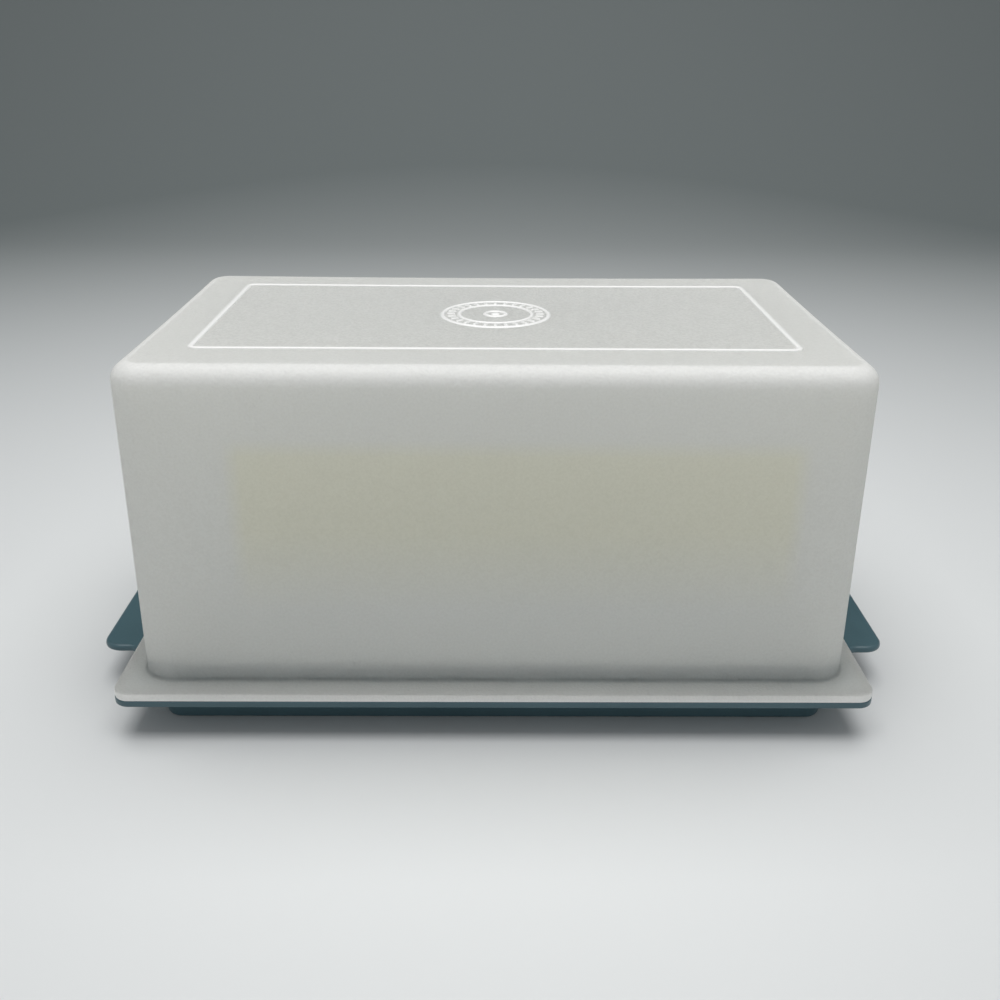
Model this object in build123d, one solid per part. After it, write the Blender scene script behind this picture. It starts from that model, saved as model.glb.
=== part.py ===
from build123d import *
import os
from math import radians, tan

# A keeper for a loaf: a deep translucent cover stands mouth down on a shallow tray with two tab handles.
# Millimetres, +Z up. The origin is on the table under the middle of the tray, and X runs along the loaf.

# Cover: its walls are measured outside, where they meet the flange
MOUTH_LENGTH = 261.0
MOUTH_WIDTH = 152.5
COVER_HEIGHT = 118.6
COVER_CORNER = 12.0
COVER_LEAN = 0.72
COVER_WALL = 2.0
ROOF_EDGE = 6.8

# Flange round the cover's mouth, with a short turned-down edge that stands on the tray
FLANGE_REACH_ENDS = 8.2
FLANGE_REACH_SIDES = 8.8
FLANGE_PLATE = 1.9
FLANGE_EDGE_HEIGHT = 3.3
FLANGE_EDGE_WIDTH = 2.0
FLANGE_CORNER = 6.0
FLANGE_ROOT = 0.9
FLANGE_BEVEL = 0.5

# Raised line that frames the roof, and the round ornament in its middle
FRAME_MARGIN_ENDS = 23.3
FRAME_MARGIN_SIDES = 24.8
FRAME_LINE = 1.8
FRAME_RISE = 0.6
FRAME_CORNER = 2.5
ORNAMENT_RADII = (21.2, 14.8, 4.7)
ORNAMENT_LINE = 1.3
ORNAMENT_RISE = 0.5
RAY_COUNT = 28
RAY_WIDTH = 1.1
RAY_GAP = 0.9
BOSS_RADIUS = 1.7
RELIEF_ROOT = 0.6

# Tray: flange height above the table, the lip that stands inside the cover, and the well
SEAT_HEIGHT = 16.7
LIP_RISE = 11.3
LIP_LEAN = 1.0
LIP_WALL = 2.0
LIP_BEVEL = 0.5
LIP_CLEARANCE = 0.8
WELL_LEAN = 5.0
TRAY_WALL = 2.2
WELL_FILLET = 4.0
FOOT_ROUND = 1.5
FOOT_WIDTH = 4.0
FOOT_RECESS = 1.0

# Rim of the tray: it follows the cover's flange, and hangs lowest in the middle of the long sides
RIM_PROUD = 0.2
RIM_PLATE = 1.8
RIM_WIDTH = 1.8
RIM_HEIGHT = 2.5
RIM_BOW = 1.1

# Tab handles, one at each end
TAB_REACH = 16.5
TAB_WIDTH = 94.0
TAB_CORNER = 8.0
TAB_ROOT = 5.0
TAB_ROUND = 1.5

# Heights and lengths that follow from these
COVER_FLANGE_TOP = SEAT_HEIGHT + FLANGE_EDGE_HEIGHT
ROOF_TOP = COVER_FLANGE_TOP + COVER_HEIGHT
LIP_TOP = SEAT_HEIGHT + LIP_RISE
FLOOR_TOP = FOOT_RECESS + TRAY_WALL
FLANGE_LENGTH = MOUTH_LENGTH + 2 * FLANGE_REACH_ENDS
FLANGE_WIDTH = MOUTH_WIDTH + 2 * FLANGE_REACH_SIDES
RIM_LENGTH = FLANGE_LENGTH + 2 * RIM_PROUD
RIM_SPAN = FLANGE_WIDTH + 2 * RIM_PROUD
RIM_CORNER = FLANGE_CORNER + RIM_PROUD


def run(height, lean):
    """Sideways travel of a wall that leans by so many degrees over a height."""
    return height * tan(radians(lean))


def block(inset, low, high, lean=0.0):
    """Block whose foot lies evenly inside the cover's mouth. It narrows upwards when lean is positive."""
    outline = RectangleRounded(MOUTH_LENGTH - 2 * inset, MOUTH_WIDTH - 2 * inset, COVER_CORNER - inset)
    return extrude(Plane.XY.offset(low) * outline, high - low, taper=lean)


def plate(length, width, corner, low, high):
    return extrude(Plane.XY.offset(low) * RectangleRounded(length, width, corner), high - low)


def top_edges(solid):
    return solid.faces().sort_by(Axis.Z)[-1].edges()


def bottom_edges(solid):
    return solid.faces().sort_by(Axis.Z)[0].edges()


def relief(outline, rise):
    """Raised line on the roof, rooted a little way into it."""
    return extrude(Plane.XY.offset(ROOF_TOP - RELIEF_ROOT) * outline, RELIEF_ROOT + rise)


def roof_frame():
    length = MOUTH_LENGTH - 2 * FRAME_MARGIN_ENDS
    width = MOUTH_WIDTH - 2 * FRAME_MARGIN_SIDES
    outer = RectangleRounded(length, width, FRAME_CORNER)
    inner = RectangleRounded(length - 2 * FRAME_LINE, width - 2 * FRAME_LINE, FRAME_CORNER - FRAME_LINE)
    frame = relief(outer - inner, FRAME_RISE)
    return chamfer(top_edges(frame), FRAME_RISE / 2)


def roof_ornament():
    """Plain sunburst: three rings, a boss in the middle and rays between the two large rings."""
    pieces = []
    for radius in ORNAMENT_RADII:
        pieces.append(relief(Circle(radius) - Circle(radius - ORNAMENT_LINE), ORNAMENT_RISE))
    pieces.append(relief(Circle(BOSS_RADIUS), ORNAMENT_RISE))
    start = ORNAMENT_RADII[1] + RAY_GAP
    end = ORNAMENT_RADII[0] - ORNAMENT_LINE - RAY_GAP
    for place in PolarLocations((start + end) / 2, RAY_COUNT):
        pieces.append(relief(place * Rectangle(end - start, RAY_WIDTH), ORNAMENT_RISE))
    return pieces


def make_cover():
    """Drafted box with a rounded roof edge, open below, with a flange and its turned-down edge."""
    shell = block(0, COVER_FLANGE_TOP, ROOF_TOP, COVER_LEAN)
    shell = fillet(top_edges(shell), ROOF_EDGE)
    flange = plate(FLANGE_LENGTH, FLANGE_WIDTH, FLANGE_CORNER, SEAT_HEIGHT, COVER_FLANGE_TOP)
    flange = chamfer(top_edges(flange), FLANGE_BEVEL)
    cover = shell + flange
    crease = [edge for edge in cover.edges() if on_crease(edge)]
    cover = fillet(crease, FLANGE_ROOT)

    spread = run(FLANGE_EDGE_HEIGHT, COVER_LEAN)
    hollow = block(COVER_WALL - spread, SEAT_HEIGHT, ROOF_TOP - COVER_WALL, COVER_LEAN)
    hollow = fillet(top_edges(hollow), ROOF_EDGE - COVER_WALL)
    under_flange = plate(
        FLANGE_LENGTH - 2 * FLANGE_EDGE_WIDTH,
        FLANGE_WIDTH - 2 * FLANGE_EDGE_WIDTH,
        FLANGE_CORNER - FLANGE_EDGE_WIDTH,
        SEAT_HEIGHT,
        COVER_FLANGE_TOP - FLANGE_PLATE,
    )
    return cover - hollow - under_flange + roof_frame() + roof_ornament()


def on_crease(edge):
    """True for the edges where the cover's walls meet its flange."""
    centre = edge.bounding_box().center()
    flat = edge.bounding_box().size.Z < 0.01
    at_level = abs(centre.Z - COVER_FLANGE_TOP) < 0.01
    near_wall = abs(centre.X) < MOUTH_LENGTH / 2 + 0.01 and abs(centre.Y) < MOUTH_WIDTH / 2 + 0.01
    return flat and at_level and near_wall


def rim_outline(shrink=0.0):
    """Outline of the tray's rim with its two tabs, which run on from the ends in a hollow curve."""
    length = RIM_LENGTH - 2 * shrink
    tab_width = TAB_WIDTH - 2 * shrink
    outline = RectangleRounded(length, RIM_SPAN - 2 * shrink, RIM_CORNER - shrink)
    outline += RectangleRounded(length + 2 * TAB_REACH, tab_width, TAB_CORNER - shrink)
    roots = [v for v in outline.vertices() if at_tab_root(v, length / 2, tab_width / 2)]
    return fillet(roots, TAB_ROOT + shrink)


def at_tab_root(vertex, x, y):
    return abs(abs(vertex.X) - x) < 0.01 and abs(abs(vertex.Y) - y) < 0.01


def below_rim():
    """All that lies under the rim's turned-down edge, which bows down along the long sides."""
    low = SEAT_HEIGHT - RIM_HEIGHT
    straight = RIM_LENGTH / 2 - RIM_CORNER
    far = RIM_LENGTH / 2 + 2 * TAB_REACH
    bow = ThreePointArc((-straight, low), (0, low - RIM_BOW), (straight, low))
    rest = Polyline((straight, low), (far, low), (far, -far), (-far, -far), (-far, low), (-straight, low))
    return extrude(Plane.XZ * make_face([bow, rest]), RIM_SPAN, both=True)


def make_rim():
    """Flat rim with a turned-down edge. The tabs' edges are rolled over, the rest stays crisp for the cover."""
    lowest = SEAT_HEIGHT - RIM_HEIGHT - RIM_BOW
    base = Plane.XY.offset(lowest)
    tabs = extrude(base * rim_outline(), SEAT_HEIGHT - lowest)
    tabs = fillet(top_edges(tabs), TAB_ROUND)
    seat = plate(RIM_LENGTH, RIM_SPAN, RIM_CORNER, lowest, SEAT_HEIGHT)
    under = extrude(base * rim_outline(RIM_WIDTH), SEAT_HEIGHT - RIM_PLATE - lowest)
    return tabs + seat - under - below_rim()


def make_tray():
    """Shallow well whose lip stands up inside the cover, with the rim part-way up its outside."""
    lip_inset = COVER_WALL + LIP_CLEARANCE
    rim_under = SEAT_HEIGHT - RIM_PLATE
    lip = block(lip_inset, rim_under, LIP_TOP, LIP_LEAN)
    well_inset = lip_inset + run(LIP_TOP - rim_under, LIP_LEAN) + LIP_WALL
    floor_inset = well_inset + run(LIP_TOP - FLOOR_TOP, WELL_LEAN)
    foot_inset = well_inset + run(LIP_TOP, WELL_LEAN) - TRAY_WALL
    well = block(floor_inset, FLOOR_TOP, LIP_TOP, -WELL_LEAN)
    well = fillet(bottom_edges(well), min(WELL_FILLET, 0.9 * (COVER_CORNER - floor_inset)))
    tub = block(foot_inset, 0, SEAT_HEIGHT, -WELL_LEAN)
    tub = fillet(bottom_edges(tub), FOOT_ROUND)
    ring_inset = foot_inset + FOOT_ROUND + FOOT_WIDTH
    ring_corner = (COVER_CORNER - foot_inset) / 2
    under_floor = plate(MOUTH_LENGTH - 2 * ring_inset, MOUTH_WIDTH - 2 * ring_inset, ring_corner, 0, FOOT_RECESS)
    tray = make_rim() + lip + tub - well - under_floor
    return chamfer(top_edges(tray), LIP_BEVEL)


os.makedirs("parts", exist_ok=True)
export_step(make_cover(), "parts/cover.step")
export_step(make_tray(), "parts/tray.step")
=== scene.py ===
from math import cos, floor, hypot, pi, radians, sin, tan

import bmesh
import bpy
from mathutils import Matrix, Vector


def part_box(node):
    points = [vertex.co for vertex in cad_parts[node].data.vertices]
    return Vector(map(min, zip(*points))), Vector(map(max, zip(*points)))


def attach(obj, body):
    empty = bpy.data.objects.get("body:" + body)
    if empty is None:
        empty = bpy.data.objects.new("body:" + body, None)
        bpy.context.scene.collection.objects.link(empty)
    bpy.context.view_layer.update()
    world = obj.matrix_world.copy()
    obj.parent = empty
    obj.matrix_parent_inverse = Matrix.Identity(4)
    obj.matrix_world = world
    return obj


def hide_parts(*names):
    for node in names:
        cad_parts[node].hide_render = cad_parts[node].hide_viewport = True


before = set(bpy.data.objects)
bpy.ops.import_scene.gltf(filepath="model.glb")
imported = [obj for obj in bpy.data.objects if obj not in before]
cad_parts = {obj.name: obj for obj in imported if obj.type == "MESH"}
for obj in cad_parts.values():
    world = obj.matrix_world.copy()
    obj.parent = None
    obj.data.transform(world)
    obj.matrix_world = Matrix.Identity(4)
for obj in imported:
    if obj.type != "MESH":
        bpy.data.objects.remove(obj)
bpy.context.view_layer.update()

# The camera stands where the photograph was taken from: a little above the keeper, looking down at its
# long side. Places are in metres and angles in degrees.
EYE = Vector((-0.0013, -0.4078, 0.2385))
PITCH_DOWN = 23.70
YAW_RIGHT = 0.50
ROLL = -0.41
LENS_MM = 38.2
SENSOR_MM = 36.0
NEAREST = 0.01

camera = bpy.data.objects.new("camera", bpy.data.cameras.new("camera"))
camera.data.lens = LENS_MM
camera.data.sensor_width = SENSOR_MM
camera.data.clip_start = NEAREST
turn_right = Matrix.Rotation(radians(-YAW_RIGHT), 4, "Z")
tilt_down = Matrix.Rotation(radians(90 - PITCH_DOWN), 4, "X")
lean = Matrix.Rotation(radians(-ROLL), 4, "Z")
camera.matrix_world = Matrix.Translation(EYE) @ turn_right @ tilt_down @ lean
bpy.context.scene.collection.objects.link(camera)
bpy.context.scene.camera = camera

# Tray: one shallow moulding of blue-grey polyethylene. It has a well whose lip stands up inside the
# cover, a flat rim that the cover's edge stands on, a ring to stand on below, and a tab at each end.
MM = 0.001
CORNER_STEPS = 14
SHARP_DEGREES = 40
CUT_SPACING = 12 * MM
WELD, FLAT = 0.001 * MM, 0.0001 * MM
MOUTH_X, MOUTH_Y = 130.5 * MM, 76.25 * MM
CORNER = 12 * MM
cover_low, cover_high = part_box("cover")
tray_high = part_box("tray")[1]
SEAT = cover_low.z
LIP_TOP = tray_high.z


def outline(mesh, corners, height):
    """Edges of an outline. Its corners are (x, y, radius), and height is a number or a function of x, y."""
    known = set(mesh.edges)
    points = [mesh.verts.new((x, y, 0)) for x, y, radius in corners]
    mesh.faces.new(points)
    for radius in sorted({corner[2] for corner in corners}):
        same = [point for point, corner in zip(points, corners) if corner[2] == radius]
        bmesh.ops.bevel(mesh, geom=same, offset=radius, offset_type="OFFSET", segments=CORNER_STEPS,
                        profile=0.5, affect="VERTICES", material=-1)
    edges = [edge for edge in mesh.edges if edge not in known]
    inside = {face for edge in edges for face in edge.link_faces}
    bmesh.ops.delete(mesh, geom=list(inside), context="FACES_ONLY")
    for vertex in {v for edge in edges for v in edge.verts}:
        vertex.co.z = height(vertex.co.x, vertex.co.y) if callable(height) else height
    return edges


def rounded(half_x, half_y, radius):
    """Corners of a rounded rectangle about the middle."""
    signs = [(1, 1), (-1, 1), (-1, -1), (1, -1)]
    return [(side_x * half_x, side_y * half_y, radius) for side_x, side_y in signs]


def inside_mouth(inset):
    """Corners of an outline that lies evenly inside the cover's mouth."""
    return rounded(MOUTH_X - inset, MOUTH_Y - inset, CORNER - inset)


def skin(mesh, outlines):
    """Walls from each outline to the next, and a flat face between two at one height."""
    for one, other in zip(outlines, outlines[1:]):
        heights = [vertex.co.z for edge in one + other for vertex in edge.verts]
        if max(heights) - min(heights) < FLAT:
            bmesh.ops.triangle_fill(mesh, edges=one + other, use_beauty=True)
        else:
            bmesh.ops.bridge_loops(mesh, edges=one + other)


def curve(radius, start, end, steps):
    """(across, up) of points on a round edge, from one angle in degrees to another."""
    angles = [radians(start + (end - start) * i / steps) for i in range(steps + 1)]
    return [(radius * cos(a), radius * sin(a)) for a in angles]


def cut(mesh, faces, reach, spacing):
    """Cuts faces by planes across X and Y, so that flat stretches can bend a little."""
    part = faces + list({e for f in faces for e in f.edges}) + list({v for f in faces for v in f.verts})
    count = floor(reach / spacing)
    for axis in (0, 1):
        for i in range(-count, count + 1):
            place, normal = Vector((0, 0, 0)), Vector((0, 0, 0))
            place[axis], normal[axis] = (i + 0.5) * spacing, 1
            split = bmesh.ops.bisect_plane(mesh, geom=part, dist=WELD, plane_co=place, plane_no=normal)
            part = split["geom"]


def finish_piece(mesh, name, materials):
    """Object of a closed mesh, smooth except at its sharp edges."""
    bmesh.ops.remove_doubles(mesh, verts=mesh.verts, dist=WELD)
    bmesh.ops.recalc_face_normals(mesh, faces=mesh.faces)
    for edge in mesh.edges:
        edge.smooth = edge.calc_face_angle(0) < radians(SHARP_DEGREES)
    for face in mesh.faces:
        face.smooth = True
    data = bpy.data.meshes.new(name)
    mesh.to_mesh(data)
    mesh.free()
    for material in materials:
        data.materials.append(material)
    piece = bpy.data.objects.new(name, data)
    bpy.context.scene.collection.objects.link(piece)
    shading = piece.modifiers.new("even shading", "WEIGHTED_NORMAL")
    shading.keep_sharp = True
    return piece


def smooth_step(x, low, high):
    t = min(max((x - low) / (high - low), 0), 1)
    return t * t * (3 - 2 * t)


def run(height, lean_degrees):
    """Sideways travel of a wall that leans by so many degrees over a height."""
    return height * tan(radians(lean_degrees))


RIM_X, RIM_Y = cover_high.x + 0.2 * MM, tray_high.y
RIM_CORNER = 6.2 * MM
RIM_DEPTH, RIM_BOW = 2.5 * MM, 1.1 * MM
PLATE, EDGE = 1.8 * MM, 1.8 * MM
EDGE_ROOT, EDGE_TIP = 0.6 * MM, 0.45 * MM
TAB_X, TAB_Y = tray_high.x, 47 * MM
TAB_CORNER, TAB_ROOT = 8 * MM, 5 * MM
RIM_ROLL, TAB_ROLL = 0.45 * MM, 1.5 * MM
ROLL_FROM, ROLL_TO = RIM_X - 1 * MM, RIM_X + 4 * MM
LIP_IN, LIP_LEAN, LIP_WALL = 2.8 * MM, 1.0, 2.0 * MM
LIP_ROOT, LIP_ROUND = 0.5 * MM, 0.9 * MM
LIP_LEVEL = SEAT + 6 * MM
WELL_LEAN, WELL_ROUND, FLOOR = 5.0, 4.0 * MM, 3.2 * MM
WELL_LEVELS = (20 * MM, 14 * MM)
FOOT_ROUND, FOOT_WIDTH, FOOT_RECESS = 1.5 * MM, 4 * MM, 1 * MM
FOOT_LEVELS = (4 * MM, 8 * MM, 12 * MM)
RECESS_BEVEL, RING_BEVEL, NECK_ROUND = 0.4 * MM, 0.2 * MM, 0.8 * MM
TRAY_WALL = 2.2 * MM


def rim_corners(rim_in, tab_in):
    """Outline of the rim and its tabs, each drawn in by so much."""
    x, y = RIM_X - rim_in, RIM_Y - rim_in
    far, side = TAB_X - tab_in, TAB_Y - tab_in
    quarter = [(x, y, RIM_CORNER - rim_in), (x, side, TAB_ROOT + tab_in), (far, side, TAB_CORNER - tab_in)]
    corners = quarter + [(px, -py, radius) for px, py, radius in reversed(quarter)]
    return corners + [(-px, -py, radius) for px, py, radius in corners]


def roll_at(x):
    """Radius of the rim's upper edge: crisp under the cover, rolled over on the tabs."""
    return RIM_ROLL + (TAB_ROLL - RIM_ROLL) * smooth_step(abs(x), ROLL_FROM, ROLL_TO)


def lower_edge(x, y):
    """Height of the rim's lower edge, which bows down along the long sides."""
    along = max(0, 1 - (x / (RIM_X - RIM_CORNER)) ** 2)
    return SEAT - RIM_DEPTH - RIM_BOW * along * (abs(y) > TAB_Y + TAB_ROOT)


under = SEAT - PLATE
well_in = LIP_IN + run(LIP_TOP - under, LIP_LEAN) + LIP_WALL
foot_in = well_in + run(LIP_TOP, WELL_LEAN) - TRAY_WALL
floor_in = well_in + run(LIP_TOP - FLOOR, WELL_LEAN)
ring_in = foot_in + FOOT_ROUND + FOOT_WIDTH


def foot_wall(z):
    """How far the outside of the well lies inside the mouth at a height."""
    return foot_in - run(z, WELL_LEAN)


def lip_wall(z):
    """How far the outside of the lip lies inside the mouth at a height."""
    return LIP_IN + run(z - under, LIP_LEAN)


def well_wall(z):
    """How far the inside of the well lies inside the mouth at a height."""
    return well_in + run(LIP_TOP - z, WELL_LEAN)


tray_mesh = bmesh.new()

# under the floor, the ring that it stands on, and the outside of the well up to the rim
outer = [outline(tray_mesh, inside_mouth(ring_in + RECESS_BEVEL), FOOT_RECESS)]
outer += [outline(tray_mesh, inside_mouth(ring_in), FOOT_RECESS - RECESS_BEVEL)]
outer += [outline(tray_mesh, inside_mouth(ring_in), RING_BEVEL)]
outer += [outline(tray_mesh, inside_mouth(ring_in - RING_BEVEL), 0)]
for across, up in curve(FOOT_ROUND, 90, 8, 6):
    outer.append(outline(tray_mesh, inside_mouth(foot_in + FOOT_ROUND - across), FOOT_ROUND - up))
for z in FOOT_LEVELS:
    outer.append(outline(tray_mesh, inside_mouth(foot_wall(z)), z))
for across, up in curve(NECK_ROUND, 0, 90, 4):
    inset = foot_wall(under) - NECK_ROUND + across
    outer.append(outline(tray_mesh, inside_mouth(inset), under - NECK_ROUND + up))
bmesh.ops.contextual_create(tray_mesh, geom=outer[0])

# the rim's underside, the inside and the tip of its turned-down edge, its outside and its upper roll
rim = []
for across, up in curve(EDGE_ROOT, 90, 0, 4):
    inset = EDGE + EDGE_ROOT - across
    rim.append(outline(tray_mesh, rim_corners(inset, inset), under - EDGE_ROOT + up))
for across, up in curve(1.0, 180, 360, 8):
    inset = EDGE / 2 * (1 - across)
    rise = EDGE_TIP * (1 + up)
    rim.append(outline(tray_mesh, rim_corners(inset, inset),
                       lambda x, y, rise=rise: lower_edge(x, y) + rise))
for across, up in curve(1.0, 0, 90, 4):
    corners = rim_corners(RIM_ROLL * (1 - across), TAB_ROLL * (1 - across))
    rim.append(outline(tray_mesh, corners, lambda x, y, up=up: SEAT - roll_at(x) * (1 - up)))

# the lip inside the cover, whose foot stands a little proud, then the inside of the well and its floor
inner = []
for across, up in curve(LIP_ROOT, 270, 180, 3):
    inset = lip_wall(SEAT) - 2 * LIP_ROOT - across
    inner.append(outline(tray_mesh, inside_mouth(inset), SEAT + LIP_ROOT + up))
inner.append(outline(tray_mesh, inside_mouth(lip_wall(LIP_LEVEL)), LIP_LEVEL))
for across, up in curve(LIP_ROUND, 180, 0, 8):
    inset = lip_wall(LIP_TOP) + LIP_ROUND + across
    inner.append(outline(tray_mesh, inside_mouth(inset), LIP_TOP - LIP_ROUND + up))
for z in WELL_LEVELS:
    inner.append(outline(tray_mesh, inside_mouth(well_wall(z)), z))
for across, up in curve(WELL_ROUND, 0, -90, 6):
    inner.append(outline(tray_mesh, inside_mouth(floor_in + WELL_ROUND - across), FLOOR + WELL_ROUND + up))
skin(tray_mesh, outer + rim + inner)
bmesh.ops.contextual_create(tray_mesh, geom=inner[-1])
cut(tray_mesh, tray_mesh.faces[:], TAB_X, CUT_SPACING)


def linear(code):
    """Linear red, green, blue and alpha of an sRGB hex colour."""
    parts = [int(code[i:i + 2], 16) / 255 for i in (0, 2, 4)]
    return [c / 12.92 if c <= 0.04045 else ((c + 0.055) / 1.055) ** 2.4 for c in parts] + [1.0]


def node(tree, kind, settings=None, links=None):
    """Adds a node to a material, sets its sockets or properties, and links its inputs."""
    made = tree.nodes.new(kind)
    for name, value in (settings or {}).items():
        if isinstance(name, int) or name in made.inputs:
            made.inputs[name].default_value = value
        else:
            setattr(made, name, value)
    for name, source in (links or {}).items():
        tree.links.new(source, made.inputs[name])
    return made


def new_material(name):
    """An empty material with its output, and the object's own coordinates in metres."""
    material = bpy.data.materials.new(name)
    material.use_nodes = True
    tree = material.node_tree
    tree.nodes.clear()
    output = node(tree, "ShaderNodeOutputMaterial")
    place = node(tree, "ShaderNodeTexCoord").outputs["Object"]
    return material, tree, output, place


# Pigmented polyethylene, injection moulded: a satin face, slightly uneven in tone. Its spark-eroded grain
# is finer than this in truth, and is drawn as coarse as it needs to be to show.
TRAY_GRAIN, TRAY_GRAIN_DEPTH = 1.1 * MM, 0.1 * MM
MOTTLE = 60 * MM
TRAY_DEEP, TRAY_LIGHT = "3f5a62", "48646c"

tray_plastic, tree, output, place = new_material("blue_grey_polyethylene_moulded")
grain = node(tree, "ShaderNodeTexNoise", {"Scale": 1 / TRAY_GRAIN, "Detail": 3.0}, {"Vector": place})
mottle = node(tree, "ShaderNodeTexNoise", {"Scale": 1 / MOTTLE, "Detail": 3.0}, {"Vector": place})
tone = node(tree, "ShaderNodeValToRGB", {}, {"Fac": mottle.outputs["Fac"]})
deep, light = tone.color_ramp.elements
deep.position, deep.color = 0.3, linear(TRAY_DEEP)
light.position, light.color = 0.7, linear(TRAY_LIGHT)
dents = node(tree, "ShaderNodeBump", {"Strength": 0.25, "Distance": TRAY_GRAIN_DEPTH},
             {"Height": grain.outputs["Fac"]})
gloss = node(tree, "ShaderNodeMapRange", {"To Min": 0.28, "To Max": 0.4}, {"Value": grain.outputs["Fac"]})
shader = node(tree, "ShaderNodeBsdfPrincipled", {"IOR": 1.5},
              {"Base Color": tone.outputs["Color"], "Roughness": gloss.outputs["Result"],
               "Normal": dents.outputs["Normal"]})
tree.links.new(shader.outputs["BSDF"], output.inputs["Surface"])

tray = finish_piece(tray_mesh, "tray_moulding", [tray_plastic])
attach(tray, "tray")
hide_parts("tray")

# Cover: one deep moulding of milky polyethylene, with drafted walls, a rounded roof edge, a flange and a
# short turned-down edge round its mouth. A raised line frames the roof, and a sunburst fills its middle.
COVER_LEAN, WALL, WALL_STEPS = 0.72, 2.0 * MM, 14
FLANGE_CORNER, FLANGE_EDGE, FLANGE_PLATE = 6 * MM, 2 * MM, 1.9 * MM
FLANGE_TIP, FLANGE_ROUND, FLANGE_ROOT = 0.3 * MM, 0.6 * MM, 1.2 * MM
LINING_ROUND, LINING_ROOT = 0.6 * MM, 0.8 * MM
FLANGE_TOP = SEAT + 3.3 * MM
RELIEF = 0.6 * MM
ROOF = cover_high.z - RELIEF
ROOF_ROUND = 6.8 * MM
under_flange = FLANGE_TOP - FLANGE_PLATE


def flange_edge(inset):
    """Corners of an outline that lies evenly inside the flange's edge."""
    return rounded(cover_high.x - inset, cover_high.y - inset, FLANGE_CORNER - inset)


def cover_wall(z):
    """How far the wall's outer face leans in at a height."""
    return run(z - FLANGE_TOP, COVER_LEAN)


def shell(mesh, thickness, low):
    """Outlines of the wall and the roof's rounded edge, on the outer face or so far inside it."""
    radius = ROOF_ROUND - thickness
    top = ROOF - thickness
    outlines = []
    for i in range(WALL_STEPS):
        z = low + (top - radius - low) * i / WALL_STEPS
        outlines.append(outline(mesh, inside_mouth(cover_wall(z) + thickness), z))
    centre_in = cover_wall(top - radius) + thickness + radius
    for across, up in curve(radius, 0, 90, 10):
        outlines.append(outline(mesh, inside_mouth(centre_in - across), top - radius + up))
    return outlines


cover_mesh = bmesh.new()
outside = []
for across, up in curve(FLANGE_TIP, 270, 360, 3):
    outside.append(outline(cover_mesh, flange_edge(FLANGE_TIP - across), SEAT + FLANGE_TIP + up))
for across, up in curve(FLANGE_ROUND, 0, 90, 5):
    outside.append(outline(cover_mesh, flange_edge(FLANGE_ROUND - across), FLANGE_TOP - FLANGE_ROUND + up))
for across, up in curve(FLANGE_ROOT, 270, 180, 5)[:-1]:
    outside.append(outline(cover_mesh, inside_mouth(-FLANGE_ROOT - across), FLANGE_TOP + FLANGE_ROOT + up))
outside += shell(cover_mesh, 0, FLANGE_TOP + FLANGE_ROOT)

lining = []
for across, up in curve(FLANGE_TIP, 270, 180, 3):
    inset = FLANGE_EDGE - FLANGE_TIP - across
    lining.append(outline(cover_mesh, flange_edge(inset), SEAT + FLANGE_TIP + up))
for across, up in curve(LINING_ROUND, 0, 90, 3):
    inset = FLANGE_EDGE + LINING_ROUND - across
    lining.append(outline(cover_mesh, flange_edge(inset), under_flange - LINING_ROUND + up))
for across, up in curve(LINING_ROOT, 270, 180, 4)[:-1]:
    inset = WALL - LINING_ROOT - across
    lining.append(outline(cover_mesh, inside_mouth(inset), under_flange + LINING_ROOT + up))
lining += shell(cover_mesh, WALL, under_flange + LINING_ROOT)

# the raised line round the roof, a little fuller than a half round
FRAME_X, FRAME_Y = MOUTH_X - 23.1 * MM, MOUTH_Y - 24.6 * MM
FRAME_LINE, FRAME_CORNER = 2.1 * MM, 4 * MM
FULLNESS = 0.7
bead = []
for across, up in curve(1.0, 180, 0, 8):
    inset = FRAME_LINE * (1 + across) / 2
    corners = rounded(FRAME_X - inset, FRAME_Y - inset, FRAME_CORNER - inset)
    bead.append(outline(cover_mesh, corners, ROOF + RELIEF * up ** FULLNESS))
skin(cover_mesh, lining[::-1] + outside + bead)
bmesh.ops.contextual_create(cover_mesh, geom=lining[-1])
cut(cover_mesh, cover_mesh.faces[:], TAB_X, CUT_SPACING)

# the sunburst: turned like a lathe piece, then its rays are raised between the two large rings
RINGS = [21.2 * MM, 14.8 * MM, 4.7 * MM]
RING_LINE, RING_RISE, BOSS = 1.3 * MM, 0.5 * MM, 1.7 * MM
RAYS, RAY_WIDTH, RAY_GAP = 28, 1.1 * MM, 0.9 * MM
RAY_START, RAY_END = RINGS[1] + RAY_GAP, RINGS[0] - RING_LINE - RAY_GAP
RAY_STEPS = 12
SIDE_IN, SIDE_OUT, END_IN = 0.25 * MM, 0.1 * MM, 0.35 * MM
DISC = RINGS[0] + 1.5 * MM
DISC_PITCH = 0.22 * MM


def ring_height(distance):
    """Height of the rings and the boss at a distance from the middle."""
    if distance < BOSS:
        return RING_RISE * (1 - (distance / BOSS) ** 2) ** 0.5
    for radius in RINGS:
        off = abs(distance - radius + RING_LINE / 2) / (RING_LINE / 2)
        if off < 1:
            return RING_RISE * (1 - off ** 2) ** 0.5
    return 0.0


def ray_height(x, y):
    """Height of the rays at a place between the two large rings."""
    distance = hypot(x, y)
    step = 2 * pi / RAYS
    angle = Vector((x, y)).angle_signed(Vector((1, 0)))
    off = abs(angle - round(angle / step) * step) * distance
    side = 1 - smooth_step(off, RAY_WIDTH / 2 - SIDE_IN, RAY_WIDTH / 2 + SIDE_OUT)
    end = smooth_step(min(distance - RAY_START, RAY_END - distance), 0, END_IN)
    return RING_RISE * min(side, end)


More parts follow.
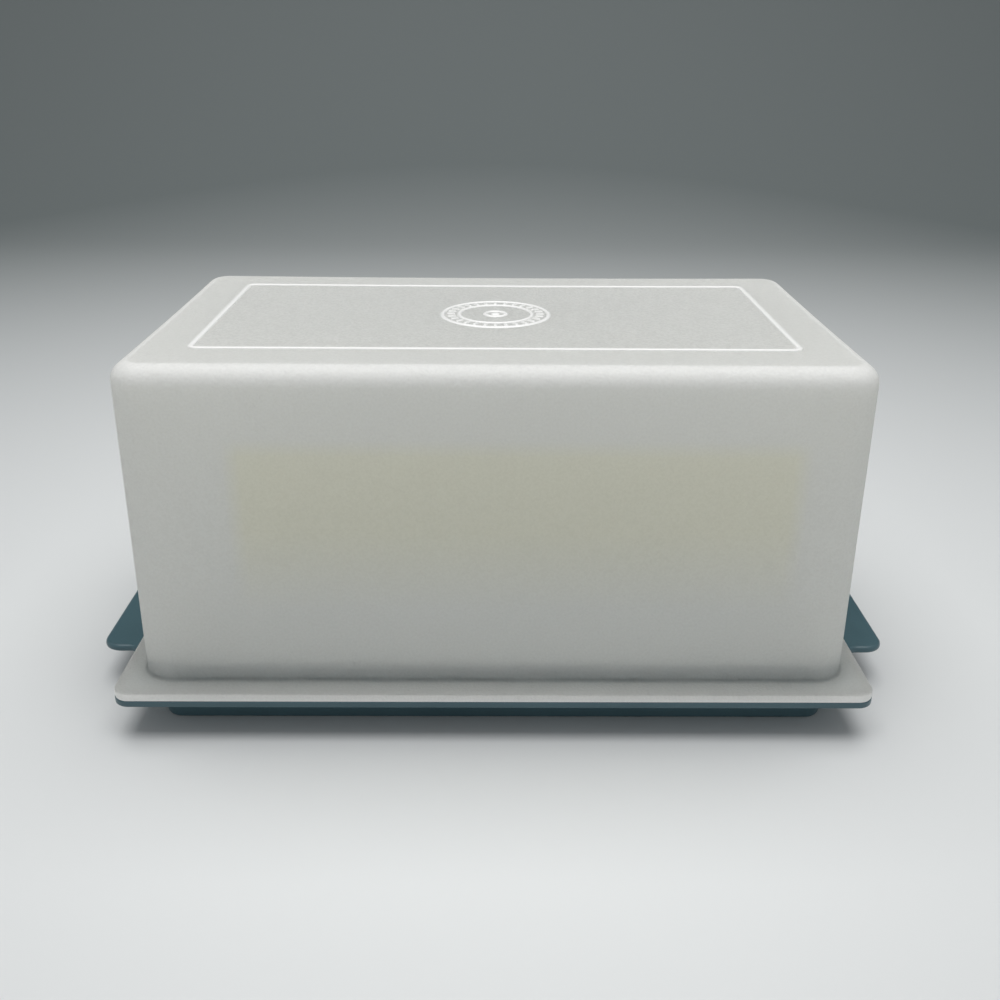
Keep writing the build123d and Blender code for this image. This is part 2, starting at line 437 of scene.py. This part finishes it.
disc_steps = round(DISC / DISC_PITCH)
known = set(cover_mesh.verts)
radii = [DISC * i / disc_steps for i in range(disc_steps + 1)]
spoke = [cover_mesh.verts.new((r, 0, ROOF + ring_height(r))) for r in radii]
spoke_edges = [cover_mesh.edges.new(pair) for pair in zip(spoke, spoke[1:])]
bmesh.ops.spin(cover_mesh, geom=spoke + spoke_edges, cent=(0, 0, 0), axis=(0, 0, 1), angle=2 * pi,
               steps=RAYS * RAY_STEPS, use_merge=True)
turned = [v for v in cover_mesh.verts if v not in known]
bmesh.ops.remove_doubles(cover_mesh, verts=turned, dist=WELD)
for vertex in cover_mesh.verts:
    if vertex not in known and RAY_START < hypot(vertex.co.x, vertex.co.y) < RAY_END:
        vertex.co.z = ROOF + ray_height(vertex.co.x, vertex.co.y)
open_edges = [edge for edge in cover_mesh.edges if edge.is_boundary]
panel = bmesh.ops.triangle_fill(cover_mesh, edges=open_edges, use_beauty=True)["geom"]
cut(cover_mesh, [face for face in panel if isinstance(face, bmesh.types.BMFace)], TAB_X, CUT_SPACING)

# Unpigmented low-density polyethylene, injection moulded: milky, with a spark-eroded grain that is drawn
# coarser than it is. More of the light passes through the wall than comes back from its face, so the dark
# lip of the tray shows through the foot of the wall as a soft band. Round edges look thicker and whiter.
MILKY, AGED = "fefefc", "fefdf4"
COVER_GRAIN = 1.0 * MM
UNEVEN_SHARE = 0.07

# the share of the light that passes through a face: by height above the mouth, as a part of FOOT_ZONE,
# and near the roof also by slope, from upright at 0 to flat at 1
FOOT_ZONE = 8 * MM
FOOT_SHARES = [(0, 0.1), (0.11, 0.42), (0.2, 0.66), (0.3, 0.7), (0.39, 0.94), (0.5, 0.95), (0.62, 0.78)]
SLOPE_SHARES = [(0, 1), (0.2, 0.75), (0.5, 0.56), (0.985, 0.56), (1, 0.84)]
SLOPE_FROM, SLOPE_TO = ROOF - 20 * MM, ROOF - 10 * MM
RAISED_SHARE, PANEL_SHARE = 0.2, 0.79

# a faint yellowed patch in the middle of the front, which fades out slowly at its lower end. Each fade
# runs from where none of it shows to where all of it does
AGED_X, AGED_LOW, AGED_HIGH = 97 * MM, 54 * MM, 111 * MM
AGED_MIDDLE, AGED_EDGE = 7.5 * MM, 3 * MM
AGED_FADES = [("across", AGED_X + AGED_EDGE, AGED_X - AGED_EDGE),
              ("Y", -MOUTH_Y + 6 * MM, -MOUTH_Y + 4 * MM),
              ("Z", AGED_LOW - 4 * MM, AGED_LOW + 26 * MM),
              ("Z", AGED_HIGH + AGED_EDGE, AGED_HIGH - AGED_EDGE)]

# sockets of a Mix node that share a name, by number
MIX_FACTOR, VALUE_A, VALUE_B, COLOUR_A, COLOUR_B = 0, 2, 3, 6, 7
MIXED_VALUE, MIXED_COLOUR = 0, 2


def aged_patch(tree, at):
    """How much of the yellowed patch shows at a place, from 0 to 1."""
    off = node(tree, "ShaderNodeMath", {"operation": "SUBTRACT", 1: AGED_MIDDLE}, {0: at["X"]})
    off = node(tree, "ShaderNodeMath", {"operation": "ABSOLUTE"}, {0: off.outputs["Value"]})
    patch = None
    for way, none, whole in AGED_FADES:
        value = off.outputs["Value"] if way == "across" else at[way]
        fade = node(tree, "ShaderNodeMapRange", {"From Min": none, "From Max": whole}, {"Value": value})
        fade = fade.outputs["Result"]
        if patch:
            both = node(tree, "ShaderNodeMath", {"operation": "MULTIPLY"}, {0: patch, 1: fade})
            fade = both.outputs["Value"]
        patch = fade
    return patch


def share_passed(tree, at, grain, shares):
    """Share of the light that a face passes: less at the lower edge and where the roof rounds over."""
    level = node(tree, "ShaderNodeMapRange", {"From Min": SEAT, "From Max": SEAT + FOOT_ZONE},
                 {"Value": at["Z"]})
    near_roof = node(tree, "ShaderNodeMapRange", {"From Min": SLOPE_FROM, "From Max": SLOPE_TO},
                     {"Value": at["Z"]})
    normal = node(tree, "ShaderNodeNewGeometry").outputs["Normal"]
    slope = node(tree, "ShaderNodeSeparateXYZ", {}, {"Vector": normal})
    slope = node(tree, "ShaderNodeMath", {"operation": "ABSOLUTE"}, {0: slope.outputs["Z"]})
    ramps = []
    for value, pairs in ((level.outputs["Result"], shares), (slope.outputs["Value"], SLOPE_SHARES)):
        ramp = node(tree, "ShaderNodeValToRGB", {}, {"Fac": value})
        stops = ramp.color_ramp.elements
        while len(stops) < len(pairs):
            stops.new(0.5)
        for stop, (position, part) in zip(stops, pairs):
            stop.position, stop.color = position, (part, part, part, 1)
        ramps.append(ramp.outputs["Color"])
    thick = node(tree, "ShaderNodeMix", {VALUE_A: 1.0},
                 {MIX_FACTOR: near_roof.outputs["Result"], VALUE_B: ramps[1]})
    passes = node(tree, "ShaderNodeMath", {"operation": "MULTIPLY"},
                  {0: ramps[0], 1: thick.outputs[MIXED_VALUE]})
    uneven = node(tree, "ShaderNodeMapRange",
                  {"From Min": 0.3, "From Max": 0.7, "To Min": UNEVEN_SHARE, "To Max": -UNEVEN_SHARE},
                  {"Value": grain})
    passes = node(tree, "ShaderNodeMath", {"operation": "ADD"},
                  {0: passes.outputs["Value"], 1: uneven.outputs["Result"]})
    return passes.outputs["Value"]


def milky_plastic(name, shares, roughness, grain_depth, unevenness):
    """Milky polyethylene. shares is how much of the light passes through each face, from the mouth up."""
    material, tree, output, place = new_material(name)
    at = node(tree, "ShaderNodeSeparateXYZ", {}, {"Vector": place}).outputs
    grain = node(tree, "ShaderNodeTexNoise", {"Scale": 1 / COVER_GRAIN, "Detail": 3.0, "Roughness": 0.6},
                 {"Vector": place}).outputs["Fac"]
    dents = node(tree, "ShaderNodeBump", {"Strength": 1.0, "Distance": grain_depth}, {"Height": grain})
    dents = dents.outputs["Normal"]
    tone = node(tree, "ShaderNodeMix",
                {"data_type": "RGBA", COLOUR_A: linear(MILKY), COLOUR_B: linear(AGED)},
                {MIX_FACTOR: aged_patch(tree, at)})
    specks = node(tree, "ShaderNodeMapRange",
                  {"From Min": 0.35, "From Max": 0.65, "To Min": 1 - unevenness, "To Max": 1.0},
                  {"Value": grain})
    tone = node(tree, "ShaderNodeMix", {"data_type": "RGBA", "blend_type": "MULTIPLY", MIX_FACTOR: 1.0},
                {COLOUR_A: tone.outputs[MIXED_COLOUR], COLOUR_B: specks.outputs["Result"]})
    tone = tone.outputs[MIXED_COLOUR]
    face = node(tree, "ShaderNodeBsdfPrincipled", {"Roughness": roughness, "IOR": 1.51},
                {"Base Color": tone, "Normal": dents})
    through = node(tree, "ShaderNodeBsdfTranslucent", {}, {"Color": tone, "Normal": dents})
    passes = share_passed(tree, at, grain, shares)
    both = node(tree, "ShaderNodeMixShader", {},
                {0: passes, 1: face.outputs["BSDF"], 2: through.outputs["BSDF"]})
    tree.links.new(both.outputs["Shader"], output.inputs["Surface"])
    return material


def even(share):
    """The same share at every height."""
    return [(0, share), (1, share)]


walls = milky_plastic("milky_polyethylene_grained", FOOT_SHARES, roughness=0.45,
                      grain_depth=0.16 * MM, unevenness=0.04)
raised = milky_plastic("milky_polyethylene_raised", even(RAISED_SHARE), roughness=0.3,
                       grain_depth=0.04 * MM, unevenness=0.02)
flat_roof = milky_plastic("milky_polyethylene_roof_panel", even(PANEL_SHARE), roughness=0.5,
                          grain_depth=0.28 * MM, unevenness=0.09)
cover_plastics = [walls, raised, flat_roof]

# the raised lines are smooth and white, and the flat roof between them is grained most
LINE_FOOT, LEVEL = 0.08 * MM, 0.01 * MM
for face in cover_mesh.faces:
    centre = face.calc_center_median()
    on_line = abs(centre.x) > FRAME_X - FRAME_LINE or abs(centre.y) > FRAME_Y - FRAME_LINE
    if centre.z > ROOF + LINE_FOOT or (centre.z > ROOF + LEVEL and on_line):
        face.material_index = cover_plastics.index(raised)
    elif centre.z > ROOF - LEVEL and not on_line:
        face.material_index = cover_plastics.index(flat_roof)

# cooling has drawn the ends in a little at mid depth, and the back of the roof has sunk
PINCH, PINCH_RISE = 0.6 * MM, 60 * MM
SAG, SAG_DEPTH = 0.5 * MM, 30 * MM
for vertex in cover_mesh.verts:
    x, y, z = vertex.co
    mid_depth = max(0, 1 - (y / MOUTH_Y) ** 2)
    mid_length = max(0, 1 - (x / MOUTH_X) ** 2)
    up_wall = smooth_step(z, FLANGE_TOP, FLANGE_TOP + PINCH_RISE)
    near_roof = smooth_step(z, ROOF - SAG_DEPTH, ROOF)
    vertex.co.x -= PINCH * (x / MOUTH_X) ** 3 * mid_depth * up_wall
    vertex.co.z -= SAG * mid_length * smooth_step(y, 0, MOUTH_Y) * near_roof

cover = finish_piece(cover_mesh, "cover_moulding", cover_plastics)
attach(cover, "cover")
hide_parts("cover")

# Studio: a pale floor that rises into a backdrop in one sweep, with painted shade that darkens it away from
# the object where the lamp's light falls off, a broad soft lamp above, and a plain pale surround. Sizes are
# in metres.
SWEEP_START, SWEEP_ROUND, SWEEP_HEIGHT, SWEEP_WIDTH, SWEEP_NEAR = 0.9, 0.7, 2.6, 3.0, -2.5
# the card's pale colour, and the darker colour painted into it far from the object as shade where the light
# falls off
CARD_PALE, CARD_PAINTED_SHADE = "dee0e0", "767d7d"
DARKENS_FROM, DARKENS_TO = 0.15, 1.2
LAMP_AT, LAMP_AIM = Vector((0, 0.04, 1.35)), Vector((0, 0, 0.05))
LAMP_X, LAMP_Y, LAMP_WATTS = 1.4, 1.25, 16.5
SURROUND, SURROUND_STRENGTH = "fcfdff", 0.41

sweep_mesh = bmesh.new()
profile = [(SWEEP_NEAR, 0.0)]
profile += [(SWEEP_START + across, SWEEP_ROUND + up) for across, up in curve(SWEEP_ROUND, -90, 0, 24)]
profile += [(SWEEP_START + SWEEP_ROUND, SWEEP_HEIGHT)]
sweep = [sweep_mesh.verts.new((-SWEEP_WIDTH, y, z)) for y, z in profile]
sweep_edges = [sweep_mesh.edges.new(pair) for pair in zip(sweep, sweep[1:])]
swept = bmesh.ops.extrude_edge_only(sweep_mesh, edges=sweep_edges)["geom"]
bmesh.ops.translate(sweep_mesh, verts=[v for v in swept if isinstance(v, bmesh.types.BMVert)],
                    vec=(2 * SWEEP_WIDTH, 0, 0))
for face in sweep_mesh.faces:
    face.smooth = True
backdrop_data = bpy.data.meshes.new("backdrop")
sweep_mesh.to_mesh(backdrop_data)
sweep_mesh.free()
backdrop = bpy.data.objects.new("backdrop", backdrop_data)
bpy.context.scene.collection.objects.link(backdrop)

# painted shade: the card's colour goes from pale near the object to dark further away, standing in for the
# lamp's light falling off
card, tree, output, place = new_material("pale_card_painted_falloff")
away = node(tree, "ShaderNodeVectorMath", {"operation": "LENGTH"}, {0: place})
painted_falloff = node(tree, "ShaderNodeMapRange", {"From Min": DARKENS_FROM, "From Max": DARKENS_TO},
              {"Value": away.outputs["Value"]})
tone = node(tree, "ShaderNodeMix",
            {"data_type": "RGBA", COLOUR_A: linear(CARD_PALE), COLOUR_B: linear(CARD_PAINTED_SHADE)},
            {MIX_FACTOR: painted_falloff.outputs["Result"]})
shader = node(tree, "ShaderNodeBsdfPrincipled", {"Roughness": 0.7},
              {"Base Color": tone.outputs[MIXED_COLOUR]})
tree.links.new(shader.outputs["BSDF"], output.inputs["Surface"])
backdrop_data.materials.append(card)

lamp = bpy.data.objects.new("top_light", bpy.data.lights.new("top_light", "AREA"))
lamp.data.shape = "RECTANGLE"
lamp.data.size, lamp.data.size_y = LAMP_X, LAMP_Y
lamp.data.energy = LAMP_WATTS
lamp.location = LAMP_AT
lamp.rotation_euler = (LAMP_AIM - LAMP_AT).to_track_quat("-Z", "Y").to_euler()
bpy.context.scene.collection.objects.link(lamp)

world = bpy.data.worlds.new("surround")
world.use_nodes = True
world_sockets = world.node_tree.nodes["Background"].inputs
world_sockets["Color"].default_value = linear(SURROUND)
world_sockets["Strength"].default_value = SURROUND_STRENGTH
bpy.context.scene.world = world
bpy.context.scene.view_settings.view_transform = "Standard"
